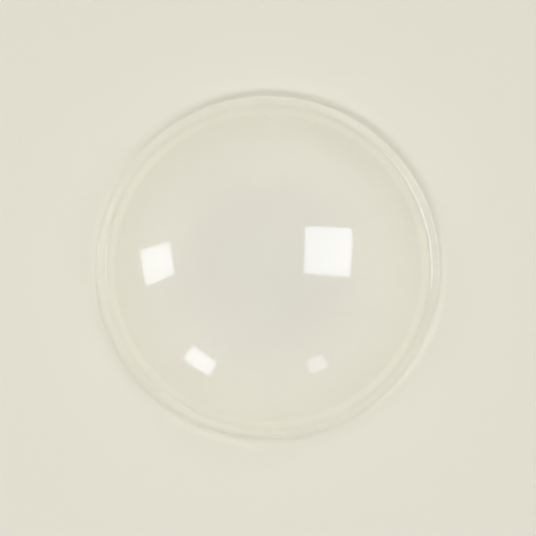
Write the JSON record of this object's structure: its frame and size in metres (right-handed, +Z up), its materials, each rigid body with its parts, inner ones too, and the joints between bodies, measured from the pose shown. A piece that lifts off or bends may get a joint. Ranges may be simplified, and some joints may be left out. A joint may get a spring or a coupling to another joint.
{
  "type": "cabinet door bumper",
  "caption": "Clear domed bumper with a flat self-adhesive underside and a thin punched skirt, which softens and quiets a cabinet door as it closes.",
  "frame": {"origin": "middle of the flat adhesive underside", "axes": "+Z up out of the surface that the bumper is stuck to, towards the top of the dome; +X and +Y lie in the underside"},
  "size_m": [0.0126, 0.0126, 0.003],
  "materials": {
    "clear_polyurethane": "gloss"
  },
  "bodies": {
    "root": {"domed_bumper": "clear_polyurethane"}
  },
  "joints": []
}
